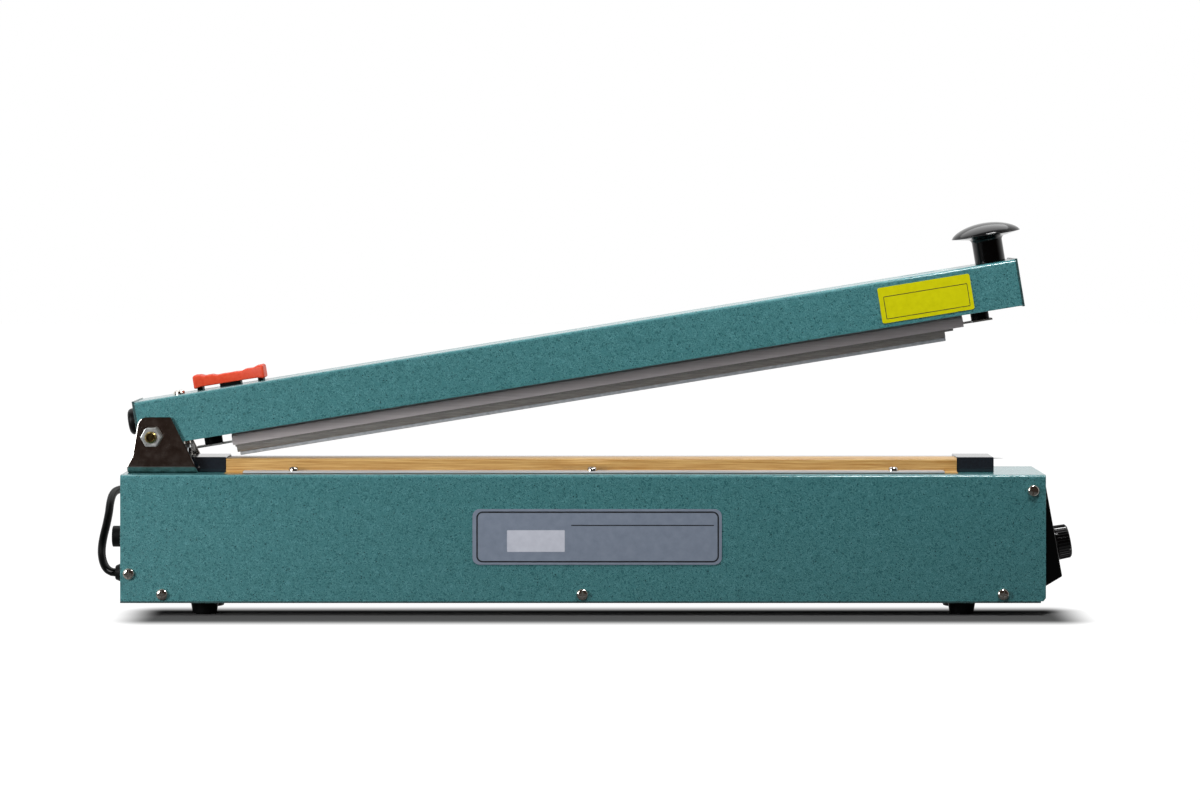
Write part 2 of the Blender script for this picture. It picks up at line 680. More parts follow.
def roundedLoop(halfLong, halfHigh, radius, steps=8):
    loop = []
    for quarter, (cx, cz) in enumerate(((1, 1), (-1, 1), (-1, -1), (1, -1))):
        for i in range(steps + 1):
            angle = math.pi / 2 * (quarter + i / steps)
            loop.append((cx * (halfLong - radius) + radius * math.cos(angle),
                         cz * (halfHigh - radius) + radius * math.sin(angle)))
    return loop


def bridged(shape, low, high):
    # A closed band of faces between two rings of corners
    count = len(low)
    return [shape.faces.new((low[i], low[(i + 1) % count], high[(i + 1) % count], high[i]))
            for i in range(count)]


def capped(shape, rings):
    # A closed solid through rings of corners
    faces = [shape.faces.new(rings[0]), shape.faces.new(rings[-1])]
    for low, high in zip(rings, rings[1:]):
        faces += bridged(shape, low, high)
    return faces


def addSlab(shape, loop, back, front, index=0):
    # Closed slab between y = back and y = front, facing -Y
    for face in capped(shape, [[shape.verts.new((x, y, z)) for x, z in loop]
                               for y in (back, front)]):
        face.material_index = index


def addHoop(shape, outer, inner, back, front, index=0):
    rings = [[shape.verts.new((x, y, z)) for x, z in loop]
             for loop, y in ((outer, back), (outer, front), (inner, front), (inner, back))]
    for a, b in zip(rings, rings[1:] + rings[:1]):
        for face in bridged(shape, a, b):
            face.material_index = index


# Mains cord: its route repeats the one of the solids, in metres
cordRoute = {
    "exit": (-0.343125, 0.026, 0.0234),
    "lead": [
        (-0.346, 0.0262, 0.0237), (-0.3494, 0.028, 0.0254), (-0.3524, 0.0314, 0.0289),
        (-0.3545, 0.036, 0.034), (-0.3554, 0.0418, 0.04), (-0.355, 0.0478, 0.0474),
        (-0.3538, 0.054, 0.0554), (-0.353, 0.0606, 0.0634), (-0.3529, 0.0676, 0.0704),
        (-0.3523, 0.0756, 0.0754), (-0.3502, 0.084, 0.0779), (-0.346, 0.092, 0.0777),
        (-0.3398, 0.0994, 0.0736), (-0.333, 0.105, 0.0655), (-0.3275, 0.1088, 0.0545),
        (-0.3225, 0.1115, 0.042), (-0.3165, 0.1136, 0.030), (-0.3085, 0.1152, 0.019),
        (-0.298, 0.1163, 0.0105), (-0.2855, 0.1168, 0.0052), (-0.272, 0.117, 0.0032),
    ],
    "radius": 0.003,
    "hankMiddle": (-0.216, 0.0842),
    "run": 0.092,
    "innerRadius": 0.018,
    "pitch": 0.0074,
    "layer": 0.0067,
    "turns": 2,
    "climbTurns": 0.5,       # share of a turn over which it goes up to the second layer
    "draw": 0.0144,
    "foldSteps": 16,
    "runSteps": 8,
    "tailShares": [(0, 0), (0.16, -0.02), (0.34, -0.55), (0.52, -0.75), (0.7, -0.5),
                   (0.86, -0.05), (1, 0)],
    "tail": 0.066,
    "plugHeight": 0.0105,
    "smoothSteps": 5,
    "length": 1.799,
}


def between(a, b, c, d, t):
    return (2 * b + (c - a) * t + (2 * a - 5 * b + 4 * c - d) * t * t
            + (3 * b - a - 3 * c + d) * t ** 3) / 2


def smoothRoute(points, steps):
    ends = [2 * points[0] - points[1], *points, 2 * points[-1] - points[-2]]
    route = [between(*ends[i:i + 4], j / steps)
             for i in range(len(points) - 1) for j in range(steps)]
    return route + [points[-1]]


def hankRoute():
    # Loops spiral in, climb along a run and spiral out again, drawn in at the waist
    r = cordRoute
    half = r["foldSteps"] + r["runSteps"]
    outer = r["innerRadius"] + r["turns"] * r["pitch"]
    route = []
    for i in range(4 * r["turns"] * half + r["runSteps"] + 1):
        turn = i / (2 * half)
        depth = turn if turn < r["turns"] else 2 * r["turns"] - turn
        radius = outer - r["pitch"] * depth
        climb = min(max((turn - r["turns"] + r["climbTurns"] / 2) / r["climbTurns"], 0), 1)
        k = i % (2 * half)
        side, j = (1 if k < half else -1), k % half
        if j < r["runSteps"]:
            share = j / r["runSteps"]
            x, y = side * (share - 0.5) * r["run"], side
            waist, bulge = (1 - math.cos(2 * math.pi * share)) / 2, 0
        else:
            angle = math.pi / 2 - math.pi * (j - r["runSteps"]) / r["foldSteps"]
            x, y = side * r["run"] / 2, side * math.sin(angle)
            waist, bulge = 0, side * math.cos(angle)
        route.append(Vector((r["hankMiddle"][0] + x + bulge * radius,
                             r["hankMiddle"][1] + y * (radius - r["draw"] * waist),
                             r["radius"] + r["layer"] * (1 - math.cos(math.pi * climb)) / 2)))
    return route


def makeCord():
    r = cordRoute
    hank = hankRoute()
    lead = [Vector(point) for point in r["lead"]] + [hank[0] - Vector((2 * r["radius"], 0, 0))]
    start = hank[-1] + Vector((2 * r["radius"], 0, 0))
    tail = [start + Vector((along * r["tail"], 0, along * (r["plugHeight"] - start.z)
                            + down * 2 * r["radius"])) for along, down in r["tailShares"]]
    route = [Vector(r["exit"])] + smoothRoute(lead, r["smoothSteps"]) + hank
    route += smoothRoute(tail, r["smoothSteps"])
    curve = bpy.data.curves.new("mainsCord", "CURVE")
    curve.dimensions = "3D"
    curve.bevel_depth = r["radius"]
    curve.bevel_resolution = 4
    curve.use_fill_caps = True
    curve.materials.append(finishes["vinylJacket"])
    line = curve.splines.new("POLY")
    line.points.add(len(route) - 1)
    for point, place in zip(line.points, route):
        point.co = (*place, 1)
    line.use_smooth = True
    cord = placed("mainsCord", curve)
    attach(cord, "base")
    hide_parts("power_cord", "cord_hank")
    return cord


# Finish and edge round in mm
cordEnds = {"power_plug": ("vinylJacket", 1.1), "plug_pins": ("turnedBrass", 0.3),
            "cord_tie": ("mouldedBlack", 0.25)}
mainsCord = makeCord()
plugBody, plugPins, cordTie = (refine(node, *sizes) for node, sizes in cordEnds.items())
print("cord made")

# Sheet metal and solid pieces that keep the shape of their solids: finish and edge round in mm
refined = {
    "base_cover": ("hammertoneEnamel", 0.25),
    "left_end_panel": ("hammertoneEnamel", 0.2),
    "right_end_panel": ("hammertoneEnamel", 0.2),
    "bottom_plate": ("floorEnamel", 0.2),
    "arm_channel": ("hammertoneEnamel", 0.25),
    "arm_end_plates": ("floorEnamel", 0.12),
    "rubber_feet": ("mouldedRubber", 0.9),
    "arm_stop": ("mouldedRubber", 0.0),
    "hinge_bracket": ("polishedChrome", 0.9),
    "hinge_nut": ("zincPlate", 0.5),
    "hinge_fork": ("blackenedSteel", 0.25),
    "seal_bar": ("jawAluminium", 0.25),
    "clamp_strips": ("sandedAluminium", 0.2),
    "end_blocks": ("phenolicBlock", 0.8),
    "press_rail": ("extrudedAluminium", 0.25),
    "pad_holder": ("drawnAluminium", 0.25),
    "cushion_strip": ("cushionFoam", 0.15),
    "silicone_pad": ("mouldedSilicone", 0.5),
    "suspension_plates": ("zincPlate", 0.2),
    "spring_cups": ("mouldedBlack", 0.4),
    "timer_housing": ("mouldedBlack", 0.9),
    "fuse_holder": ("mouldedBlack", 0.6),
    "cord_gland": ("mouldedBlack", 0.4),
    "cutter_runner": ("mouldedBlack", 0.15),
    "cutter_blade": ("groundSteel", 0.0),
    "floor_screws": ("zincPlate", 0.0),
    "plunger_bush": ("turnedBrass", 0.15),
    "guide_studs": ("zincPlate", 0.2),
    "knob_stud": ("zincPlate", 0.3),
}
for node, (finish, edgeMm) in refined.items():
    refine(node, finish, edgeMm)
print("sheet metal and solid pieces made")

# Pieces inside, which keep their solids
inside = {
    "transformer_core": "coreSheet",
    "transformer_winding": "enamelledWire",
    "timer_board": "resistBoard",
    "microswitch": "mouldedBlack",
    "inner_wiring": "vinylJacket",
    "potentiometer": "zincPlate",
    "timer_shaft": "zincPlate",
    "under_tape": "coatedGlassCloth",
    "heating_element": "groundSteel",
    "element_posts": "turnedBrass",
    "switch_plunger": "groundSteel",
}
for node, finish in inside.items():
    nodes[node].data.materials.clear()
    nodes[node].data.materials.append(finishes[finish])
print("inner pieces finished")


def islandBoxes(node):
    # Lowest and highest corner of each separate solid of a node
    shape = bmesh.new()
    shape.from_mesh(nodes[node].data)
    bmesh.ops.remove_doubles(shape, verts=shape.verts, dist=weldGap)
    left, boxes = set(shape.verts), []
    while left:
        edge, island = [left.pop()], []
        while edge:
            vertex = edge.pop()
            island.append(vertex.co.copy())
            for link in vertex.link_edges:
                other = link.other_vert(vertex)
                if other in left:
                    left.remove(other)
                    edge.append(other)
        boxes.append((Vector([min(p[i] for p in island) for i in range(3)]),
                      Vector([max(p[i] for p in island) for i in range(3)])))
    shape.free()
    return sorted(boxes, key=lambda box: tuple(round(part, 4) for part in box[0]))


# Pan-head screws with a cross recess: a tree grows one at each place, facing its own way
screwShape = {
    "ballSides": 32,
    "ballRings": 16,
    "shoulder": -0.45,       # how far the dome is pushed out to a pan head
    "crown": 0.8,
    "recessLong": 1.5,       # shares of the head's radius
    "recessWide": 0.2,
    "recessDeep": 0.62,      # share of the head's height
}


def makeScrewTree():
    tree, given = newTree("crossScrew", {
        "Head Radius": "Float", "Head Height": "Float", "Shank Radius": "Float",
        "Shank Length": "Float", "Nut Width": "Float", "Nut Height": "Float",
        "Nut Place": "Float", "With Nut": "Bool"})
    ball = addNode(tree, "GeometryNodeMeshUVSphere",
                   {"Segments": screwShape["ballSides"], "Rings": screwShape["ballRings"],
                    "Radius": 1.0})
    place = addNode(tree, "GeometryNodeInputPosition")
    part = addNode(tree, "ShaderNodeSeparateXYZ", {0: place}).outputs
    level = addNode(tree, "ShaderNodeCombineXYZ", {"X": part["X"], "Y": part["Y"]})
    away = addNode(tree, "ShaderNodeVectorMath", {0: level}, operation="LENGTH")
    made = {name: given[name] for name in given.keys()}
    made.update({"x": part["X"], "y": part["Y"], "z": part["Z"],
                 "from axis": away.outputs["Value"]})
    for name, operation, *values in (
            ("from axis", "MAXIMUM", "from axis", 0.001),
            ("push", "POWER", "from axis", screwShape["shoulder"]),
            ("push", "MULTIPLY", "push", "Head Radius"),
            ("x", "MULTIPLY", "x", "push"),
            ("y", "MULTIPLY", "y", "push"),
            ("z", "MAXIMUM", "z", 0.0),
            ("z", "POWER", "z", screwShape["crown"]),
            ("z", "MULTIPLY", "z", "Head Height"),
            ("long", "MULTIPLY", "Head Radius", screwShape["recessLong"]),
            ("thin", "MULTIPLY", "Head Radius", screwShape["recessWide"]),
            ("deep", "MULTIPLY", "Head Height", 2 * screwShape["recessDeep"]),
            ("nut radius", "DIVIDE", "Nut Width", 3 ** 0.5),
            ("nut middle", "MULTIPLY", "Nut Height", -0.5),
            ("nut middle", "SUBTRACT", "nut middle", "Nut Place"),
            ("shank middle", "MULTIPLY", "Shank Length", -0.5)):
        made[name] = addNode(tree, "ShaderNodeMath",
                             {i: made.get(value, value) for i, value in enumerate(values)},
                             operation=operation)
    shaped = addNode(tree, "ShaderNodeCombineXYZ",
                     {"X": made["x"], "Y": made["y"], "Z": made["z"]})
    dome = addNode(tree, "GeometryNodeSetPosition", {"Geometry": ball, "Position": shaped})
    carve = addNode(tree, "GeometryNodeMeshBoolean", {"Mesh 1": dome},
                    operation="DIFFERENCE", solver="EXACT")
    whole = addNode(tree, "GeometryNodeJoinGeometry")
    parts = []
    for long, wide in (("long", "thin"), ("thin", "long")):
        size = addNode(tree, "ShaderNodeCombineXYZ",
                       {"X": made[long], "Y": made[wide], "Z": made["deep"]})
        bar = addNode(tree, "GeometryNodeMeshCube", {"Size": size})
        parts.append((bar, "Head Height", carve, "Mesh 2"))
    nut = addNode(tree, "GeometryNodeMeshCylinder",
                  {"Vertices": 6, "Radius": made["nut radius"], "Depth": given["Nut Height"]})
    chosen = addNode(tree, "GeometryNodeSwitch", {"Switch": given["With Nut"], "True": nut},
                     input_type="GEOMETRY")
    shank = addNode(tree, "GeometryNodeMeshCylinder",
                    {"Vertices": 16, "Radius": given["Shank Radius"],
                     "Depth": given["Shank Length"]})
    parts += [(chosen, "nut middle", whole, 0), (shank, "shank middle", whole, 0)]
    for geometry, height, target, entry in parts:
        lift = addNode(tree, "ShaderNodeCombineXYZ", {"Z": made[height]})
        lifted = addNode(tree, "GeometryNodeTransform",
                         {"Geometry": geometry, "Translation": lift})
        feed(tree, target, {entry: lifted})
    feed(tree, whole, {0: carve})
    facing = addNode(tree, "GeometryNodeInputNamedAttribute", {"Name": "facing"},
                     data_type="FLOAT_VECTOR")
    turn = addNode(tree, "GeometryNodeInputNamedAttribute", {"Name": "turn"},
                   data_type="FLOAT")
    copies = copied(tree, given["Geometry"], whole, facing, {"axis": "Z"}, (0, 0, 1), turn)
    return ended(tree, copies, given)


screwTree = makeScrewTree()
# Radius and height of the head, radius and length of the shank; width, height and place of
# the nut; place and facing of a single screw. The others find their places in the solids.
screwSets = {
    "cover_screws": {"headMm": (4.2, 2.6), "shankMm": (2.0, 7.0)},
    "strip_screws": {"headMm": (3.7, 2.9), "shankMm": (2.0, 7.0)},
    "bracket_screws": {"headMm": (4.2, 2.2), "shankMm": (2.0, 7.0)},
    "switch_screw": {"headMm": (4.2, 2.6), "shankMm": (2.5, 36.1), "nutMm": (8.0, 4.0, 1.2),
                     "placeMm": (20.6, 0.0, 26.1), "facing": armUp},
    "blade_screw": {"headMm": (2.6, 1.2), "shankMm": (1.5, 0.6),
                    "placeMm": (57.7, 4.7, 0.0), "facing": Vector((0, -1, 0))},
}


def makeScrews(node, sizes, rolls):
    radius, height = (part * mm for part in sizes["headMm"])
    places, facings = [], []
    if "placeMm" in sizes:
        places = [armPlace @ (Vector(sizes["placeMm"]) * mm)]
        facings = [sizes["facing"]]
    else:
        for low, high in islandBoxes(node):
            middle = (low + high) / 2
            if node == "cover_screws":
                side = math.copysign(1, middle.y)
                places.append(Vector((middle.x, side * abs(frontFace), middle.z)))
                facings.append(Vector((0, side, 0)))
            else:
                places.append(Vector((middle.x, middle.y, high.z - height)))
                facings.append(Vector((0, 0, 1)))
    turns = [rolls.uniform(-mostTurn, mostTurn) for _ in places]
    nut = sizes.get("nutMm", (0, 0, 0))
    mesh = grown(pieceName(node), screwTree, {
        "Head Radius": radius, "Head Height": height,
        "Shank Radius": sizes["shankMm"][0] * mm, "Shank Length": sizes["shankMm"][1] * mm,
        "Nut Width": nut[0] * mm, "Nut Height": nut[1] * mm, "Nut Place": nut[2] * mm,
        "With Nut": "nutMm" in sizes, "Finish": finishes["nickelPlate"]},
        places, facings, turns)
    smoothMesh(mesh, keepDeg=40)
    addPiece(mesh, node)


screwRolls = random.Random(7)
mostTurn = 0.3               # radians either way, as the real recesses stand nearly square
for node, sizes in screwSets.items():
    makeScrews(node, sizes, screwRolls)
print("screws grown")

# Wound springs: a tree winds a wire round Z
springs = {
    "pressXMm": (40.0, 593.0),
    "pressAcrossMm": -4.5,
    "pressFromMm": -1.5,
    "pressToMm": 21.9,
    "pressRadiusMm": 4.9,
    "pressWireMm": 1.4,
    "pressTurns": 7.0,
    "returnSpanMm": 36.0,
    "returnRadiusMm": 7.6,
    "returnWireMm": 2.0,
    "returnTurns": 15.0,
    "steps": 28,
}
standing = Matrix.Rotation(math.pi / 2, 4, "X")     # turns Z to the front


def makeCoilTree():
    tree, given = newTree("woundWire", {"Turns": "Float", "Radius": "Float",
                                        "Height": "Float", "Wire Radius": "Float",
                                        "Steps": "Int"})
    spiral = addNode(tree, "GeometryNodeCurveSpiral",
                     {"Resolution": given["Steps"], "Rotations": given["Turns"],
                      "Start Radius": given["Radius"], "End Radius": given["Radius"],
                      "Height": given["Height"]})
    ring = addNode(tree, "GeometryNodeCurvePrimitiveCircle",
                   {"Resolution": 10, "Radius": given["Wire Radius"]})
    wire = addNode(tree, "GeometryNodeCurveToMesh",
                   {"Curve": spiral, "Profile Curve": ring, "Fill Caps": True})
    return ended(tree, wire, given)


def makeSprings():
    tree, s = makeCoilTree(), springs

    def wound(kind, highMm, finish):
        return grown(kind + "Coil", tree, {
            "Turns": s[kind + "Turns"], "Radius": s[kind + "RadiusMm"] * mm,
            "Height": highMm * mm, "Wire Radius": s[kind + "WireMm"] / 2 * mm,
            "Steps": s["steps"], "Finish": finishes[finish]})

    wire = s["pressWireMm"]
    whole = s["pressToMm"] - s["pressFromMm"]
    coils = []
    for x in s["pressXMm"]:
        coil = wound("press", whole - wire, "zincPlate")
        coil.transform(onArm((x, s["pressAcrossMm"], s["pressFromMm"] + wire / 2)))
        coils.append((coil, 0))
    mesh = joined("pressSprings", coils)
    smoothMesh(mesh, keepDeg=60)
    pressed = addPiece(mesh, "press_springs", "zincPlate")
    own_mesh(pressed)
    span = s["returnSpanMm"] - s["returnWireMm"]
    coil = wound("return", span, "blackenedSteel")
    coil.transform(Matrix.Translation(hinge + Vector((0, span / 2 * mm, 0))) @ standing)
    smoothMesh(coil, keepDeg=60)
    addPiece(coil, "return_spring")


makeSprings()
print("springs wound")

# Hinge bolt: turned shank with its thread at the front end and a hexagon head behind
bolt = {"radiusMm": 4.0, "halfMm": 27.85, "frontMm": 8.1, "threadMm": 9.0, "pitchMm": 1.25,
        "threadDeepMm": 0.35, "bevelMm": 0.7, "dimpleMm": 1.6, "dimpleShares": (0.66, 0.56),
        "headAcrossMm": 13.0, "headRings": ((0.94, 0.0), (1.0, 0.4), (1.0, 4.7), (0.9, 5.3))}


def makeBolt():
    b = bolt
    radius, end = b["radiusMm"], b["halfMm"] + b["frontMm"]
    count = int(b["threadMm"] / b["pitchMm"])
    start = end - b["bevelMm"] - count * b["pitchMm"]
    profile = [(0.0, -b["halfMm"]), (radius, -b["halfMm"]), (radius, start)]
    for i in range(count):
        profile += [(radius - b["threadDeepMm"], start + (i + 0.5) * b["pitchMm"]),
                    (radius, start + (i + 1) * b["pitchMm"])]
    rim, floor = (radius * share for share in b["dimpleShares"])
    profile += [(radius - b["bevelMm"], end), (rim, end), (floor, end - b["dimpleMm"]),
                (0.0, end - b["dimpleMm"])]
    shape = spun(profile, steps=48, closed=False)
    across = b["headAcrossMm"] / 3 ** 0.5 * mm
    capped(shape, [[shape.verts.new((across * share * math.cos(math.pi / 3 * i),
                                     across * share * math.sin(math.pi / 3 * i),
                                     (-b["halfMm"] - z) * mm)) for i in range(6)]
                   for share, z in b["headRings"]])
    mesh = meshOf(shape, "hingeBolt")
    mesh.transform(Matrix.Translation(hinge) @ standing)
    smoothMesh(mesh, keepDeg=30)
    addPiece(mesh, "hinge_bolt", "strawZinc")


makeBolt()

# Coated cloth, stretched over the jaw from its groove and clamped along the front
cloth = {
    "behindMm": 2.9,         # from the middle back to the groove's edge
    "frontMm": 18.2,
    "highMm": 9.6,
    "lowMm": 0.2,
    "flangeMm": 29.2,
    "topRoundMm": 1.4,
    "footRoundMm": 0.9,
    "thickMm": 0.36,
    "stepMm": 2.2,
    "waveMm": 0.12,
    "wavesPerM": (210, 77),
    "waveAt": 1.3,
    "faceMm": (5.2, 4.2),    # middle and half height of the front that swells
    "faceSlackMm": 0.05,
    "steps": (12, 6, 8, 5, 6),   # on top, round the edge, down, round the foot, out
    "bulgeMm": 1.3,
    "bulgeAtMm": 327.1,      # the clamp strip's middle screw, from the housing's left end
    "bulgeLongMm": 17.0,
}


def clothLine():
    # The cloth's section from the groove over the front and out under the clamp strip
    c = cloth
    front, top, foot = c["frontMm"], c["topRoundMm"], c["footRoundMm"]
    span = c["behindMm"] + front - top
    fall = c["highMm"] - top - c["lowMm"] - foot
    out = c["flangeMm"] - front - foot
    above, bend, down, turn, flat = c["steps"]
    line = [(c["behindMm"] - span * i / above, c["highMm"]) for i in range(above + 1)]
    line += [(top - front - top * math.sin(a), c["highMm"] - top * (1 - math.cos(a)))
             for a in arc(bend, 1)]
    line += [(-front, c["highMm"] - top - fall * i / down) for i in range(1, down + 1)]
    line += [(-front - foot * (1 - math.cos(a)), c["lowMm"] + foot * (1 - math.sin(a)))
             for a in arc(turn, 1)]
    return line + [(-front - foot - out * i / flat, c["lowMm"]) for i in range(1, flat + 1)]


def makeCloth():
    c = cloth
    low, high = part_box("ptfe_cover")
    long = high.x - low.x
    line = clothLine()
    walked = [0.0]
    for a, b in zip(line, line[1:]):
        walked.append(walked[-1] + math.dist(a, b))
    count = round(long / (c["stepMm"] * mm))
    faceMiddle, faceHalf = c["faceMm"]
    shape = bmesh.new()
    wrap = shape.loops.layers.uv.new("wrap")
    rows = []
    for i in range(count + 1):
        x = low.x + long * i / count
        near = (x - leftEnd) / mm - c["bulgeAtMm"]
        swell = c["bulgeMm"] * math.exp(-(near / c["bulgeLongMm"]) ** 4)
        ripple = c["waveMm"] * (math.sin(x * c["wavesPerM"][0])
                                * math.sin(x * c["wavesPerM"][1] + c["waveAt"]))
        row = []
        for y, z in line:
            upright = -c["frontMm"] - c["faceSlackMm"] < y < c["topRoundMm"] - c["frontMm"]
            face = upright * max(0.0, 1 - abs(z - faceMiddle) / faceHalf)
            row.append(shape.verts.new((x, (y - face * (swell + ripple)) * mm,
                                        deckTop + z * mm)))
        rows.append(row)
    for i in range(count):
        for j in range(len(line) - 1):
            corners = ((i, j), (i, j + 1), (i + 1, j + 1), (i + 1, j))
            face = shape.faces.new([rows[a][b] for a, b in corners])
            for loop, (a, b) in zip(face.loops, corners):
                loop[wrap].uv = (long * a / count, walked[b] * mm)
    piece = placed("jawCloth", meshOf(shape, "jawCloth", solid=False))
    thick = piece.modifiers.new("thick", "SOLIDIFY")
    thick.thickness = c["thickMm"] * mm
    thick.offset = 0
    mesh = settled(piece)
    smoothMesh(mesh, keepDeg=50)
    piece = addPiece(mesh, "ptfe_cover", "coatedGlassCloth", "jawCloth")


makeCloth()
print("cloth stretched")

# Films on the housing and the arm: bare, with thin printed lines only. A frame has its middle,
# half length, half height and corner; a panel and a rule have their middle, length and height.
films = {
    "base_label": {"finish": "printedFilm", "sizeMm": (175.0, 39.0), "thickMm": 0.5,
                   "roundMm": 5.0, "frameMm": (0.35, 0.0, 85.15, 17.9, 4.5), "lineMm": 1.05,
                   "panelMm": (-43.0, -2.9, 40.5, 15.2), "ruleMm": (31.9, 8.1, 100.3, 0.7),
                   "cornerMm": 0.6},
    "arm_label": {"finish": "yellowFilm", "sizeMm": (65.9, 25.4), "thickMm": 0.4,
                  "roundMm": 1.6, "frameMm": (0.35, -1.95, 30.05, 8.1, 0.7), "lineMm": 0.45,
                  "placeMm": (555.3, -25.0, 8.9)},
}
inkProud = 0.05 * mm


def makeFilm(node, sizes, place):
    shape = bmesh.new()
    long, high = (part / 2 * mm for part in sizes["sizeMm"])
    thick = sizes["thickMm"] * mm
    inks = (-thick + inkProud, -thick - inkProud)
    addSlab(shape, roundedLoop(long, high, sizes["roundMm"] * mm), 0, -thick)
    x, z, halfLong, halfHigh, bend = (part * mm for part in sizes["frameMm"])
    hoops = [[(x + a, z + b) for a, b in roundedLoop(halfLong - line, halfHigh - line,
                                                     bend - line)]
             for line in (0, sizes["lineMm"] * mm)]
    addHoop(shape, *hoops, *inks, 1)
    for key, index in (("panelMm", 2), ("ruleMm", 1)):
        if key in sizes:
            x, z, wide, tall = (part * mm for part in sizes[key])
            corner = min(tall / 2.1, sizes["cornerMm"] * mm)
            loop = roundedLoop(wide / 2, tall / 2, corner, steps=3)
            addSlab(shape, [(x + a, z + b) for a, b in loop], *inks, index)
    mesh = meshOf(shape, pieceName(node))
    mesh.transform(place)
    for finish in (sizes["finish"], "printingInk", "paleFilm"):
        mesh.materials.append(finishes[finish])
    addPiece(mesh, node)


low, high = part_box("base_label")
makeFilm("base_label", films["base_label"],
         Matrix.Translation(((low.x + high.x) / 2, frontFace, (low.z + high.z) / 2)))
makeFilm("arm_label", films["arm_label"], onArm(films["arm_label"]["placeMm"]))
print("films laid")

# Pressing knob: a polished mushroom with a lens-shaped cap and a thin sharp rim
knob = {"atMm": (607.0, 0.0, 26.1), "radiusMm": 24.5, "stemMm": 10.8, "stemHighMm": 19.8,
        "bevelMm": 0.4, "flareMm": 3.0, "eavesMm": 1.8, "rimMm": 0.9, "rimSteps": 8,
        "capMm": 8.8, "domePower": 1.4, "steps": 128, "boreMm": 4.0}


def makeKnob():
    k = knob
    stem, rim, rimHalf = k["stemMm"], k["stemHighMm"], k["rimMm"] / 2
    edge = k["radiusMm"] - rimHalf
    profile = [(k["boreMm"], 0.0), (stem - k["bevelMm"], 0.0), (stem, k["bevelMm"])]
    profile += [(stem + k["flareMm"] * (1 - math.cos(a)),
                 rim - k["eavesMm"] - k["flareMm"] * (1 - math.sin(a))) for a in arc(12)]
    for i in range(k["rimSteps"]):
        a = math.pi * (i / k["rimSteps"] - 0.5)
        profile.append((edge + rimHalf * math.cos(a), rim + rimHalf * (1 + math.sin(a))))
    profile += [(edge * math.cos(a), rim + k["rimMm"]
                 + (k["capMm"] - k["rimMm"]) * math.sin(a) ** k["domePower"])
                for a in arc(48)]
    profile[-1] = (0.0, rim + k["capMm"])
    profile += [(0.0, rim), (k["boreMm"], rim)]
    mesh = meshOf(spun(profile, steps=k["steps"]), "pressingKnob")
    mesh.transform(onArm(k["atMm"]))
    smoothMesh(mesh, keepDeg=38)
    addPiece(mesh, "pressing_knob", "polishedPhenolic")


makeKnob()

# Cutter handle: a bridge, waisted and scalloped on top, with a low lobe at each end
grip = {"atMm": (57.7, 5.0, 28.5), "longMm": 51.0, "endWideMm": 24.0, "waist": 0.62,
        "highMm": 9.0, "dipMm": 2.7, "lobeMm": 1.0, "lobeLongMm": 5.5, "roundMm": 1.8,
        "topShares": (1, 0.9, 0.45, 0.5, 0.1, 0.2, 0.15, 0.2, 0.1, 0.5, 0.45, 0.9, 1),
        "endShares": (0.8, 0.5), "powers": (0.26, 0.16), "stations": 96, "around": 40}


def makeGrip():
    g = grip
    shape = bmesh.new()
    rings = []
    half = g["longMm"] / 2
    for i in range(g["stations"] + 1):
        share = -math.cos(math.pi * i / g["stations"])
        x = half * share
        wide = g["endWideMm"] / 2 * (g["waist"] + (1 - g["waist"]) * share ** 2)
        place = (share + 1) / 2 * (len(g["topShares"]) - 1)
        k = min(int(place), len(g["topShares"]) - 2)
        blend = (1 - math.cos(math.pi * (place - k))) / 2
        raised = g["topShares"][k] + (g["topShares"][k + 1] - g["topShares"][k]) * blend
        top = g["highMm"] - g["dipMm"] * (1 - raised)
        inward = (half - abs(x)) / g["lobeLongMm"]
        foot = -g["lobeMm"] * (1 + math.cos(math.pi * min(inward, 1))) / 2
        end = max(0.0, 1 - (1 - abs(share)) * half / g["roundMm"])
        shrink = g["roundMm"] * (1 - math.sqrt(max(0.0, 1 - end * end)))
        most, least = (part * shrink for part in g["endShares"])
        wide, top, low = wide - most, top - most, foot + least
        ring = []
        for k in range(g["around"]):
            a = 2 * math.pi * k / g["around"]
            c, s = math.cos(a), math.sin(a)
            power = g["powers"][0 if s > 0 else 1]
            y = wide * math.copysign(abs(c) ** power, c)
            z = (top + low) / 2 + (top - low) / 2 * math.copysign(abs(s) ** power, s)
            ring.append(shape.verts.new((x * mm, y * mm, z * mm)))
        rings.append(ring)
    capped(shape, rings)
    mesh = meshOf(shape, "cutterHandle")
    mesh.transform(onArm(g["atMm"]))
    smoothMesh(mesh, keepDeg=48)
    addPiece(mesh, "cutter_handle", "redMoulding")


makeGrip()
print("knob and handle made")

# Timer: a ribbed dial with its scale, and the lamp above it. The dial is turned from radius and
# height pairs; the pointer has its width, length, thickness and corner; the lamp has the
# radius of its neck and of its lens, and the lens's height.
timer = {"dialMm": ((6.8, 0.0), (12.2, 0.0), (12.5, 0.3), (12.5, 2.2), (11.7, 3.0), (11.9, 3.0),
                    (11.6, 11.3), (11.2, 12.1), (10.4, 12.5), (9.2, 12.25), (0.0, 12.0),
                    (0.0, 3.2), (6.8, 3.2)),
         "gapMm": 0.6, "ribs": 36, "ribMm": 0.42, "ribLongMm": 8.2, "ribRingMm": 11.75,
         "ribMiddleMm": 7.2, "ribLean": math.atan2(0.3, 8.3), "pointerMm": (0.9, 7.5, 0.7, 0.4),
         "pointerAtMm": (6.45, 11.95), "tickWideMm": 0.4, "tickLongMm": (2.0, 1.1),
         "tickFromMm": 13.4, "numbers": 9, "numberMm": 3.6, "numberAtMm": 18.0,
         "sweepDeg": 280.0, "lampMm": (3.8, 4.1, 2.6), "lampLongMm": 12.0,
         "lampAboveDialMm": 32.0}
